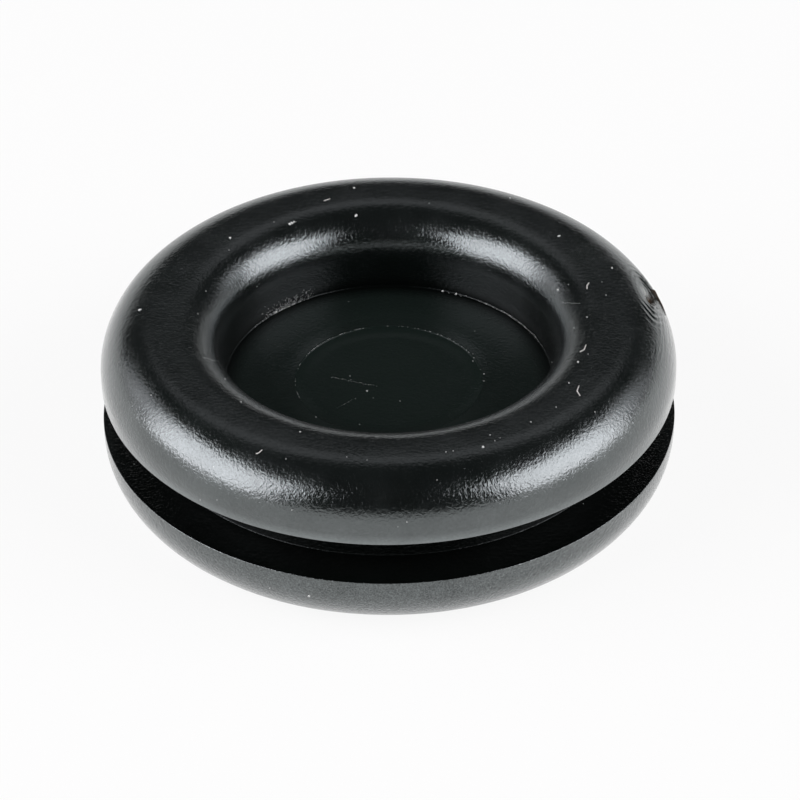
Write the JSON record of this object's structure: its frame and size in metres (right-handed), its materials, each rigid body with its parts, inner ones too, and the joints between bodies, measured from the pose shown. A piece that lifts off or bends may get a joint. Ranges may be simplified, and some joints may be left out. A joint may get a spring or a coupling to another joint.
{
  "type": "closed rubber grommet",
  "caption": "Round closed grommet: rounded rims either side of a square panel groove, with a thin web across the bore. It plugs a panel hole or lets a cable through once pierced.",
  "frame": {"origin": "on the axis in the middle of the panel groove, which is also the middle of the web and of the whole part", "axes": "+Z along the axis, towards the side of the web that has the round insert mark; +X about 10 degrees short of the gate mark on the upper rim"},
  "size_m": [0.0236, 0.0236, 0.0074],
  "materials": {
    "rubber": "moulded, matt with a fine grain"
  },
  "bodies": {
    "root": {"grommet": "rubber"}
  },
  "joints": []
}
